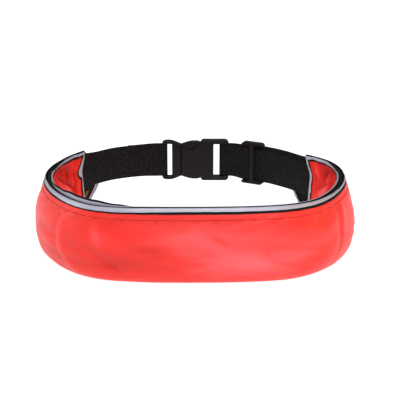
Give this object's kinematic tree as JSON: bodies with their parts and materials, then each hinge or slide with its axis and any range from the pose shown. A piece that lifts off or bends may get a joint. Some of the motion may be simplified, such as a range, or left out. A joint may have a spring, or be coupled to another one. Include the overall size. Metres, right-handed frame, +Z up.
{
  "type": "inflatable belt pack",
  "caption": "Red nylon waist pack that curves round the front of the body, with a reflective-edged zip on top and a black webbing belt with side-release buckle and slider.",
  "frame": {"origin": "middle of the pack's plan, on the surface that it stands on", "axes": "+X towards the buckle's socket, which is right in the picture; +Y from the front of the bag to the buckle; +Z up from the bottom of the bag to the zip"},
  "size_m": [0.3518, 0.2744, 0.0819],
  "materials": {
    "nylon": "slightly glossy coated woven nylon",
    "zip": "black coil zip tape",
    "edge_tape": "matt woven binding tape",
    "reflective": "silver retroreflective ribbon",
    "tab": "matt woven tape",
    "webbing": "matt ribbed webbing",
    "buckle": "satin moulded plastic"
  },
  "bodies": {
    "root": {"outer_panel": "nylon", "inner_panel": "nylon", "zip_strip": "zip", "outer_edge_tape": "edge_tape", "inner_edge_tape": "edge_tape", "outer_reflective_stripe": "reflective", "inner_reflective_stripe": "reflective", "mouth_tab": "tab", "belt_webbing": "webbing", "buckle_plug": "buckle", "buckle_socket": "buckle", "belt_slider": "buckle"}
  },
  "joints": []
}
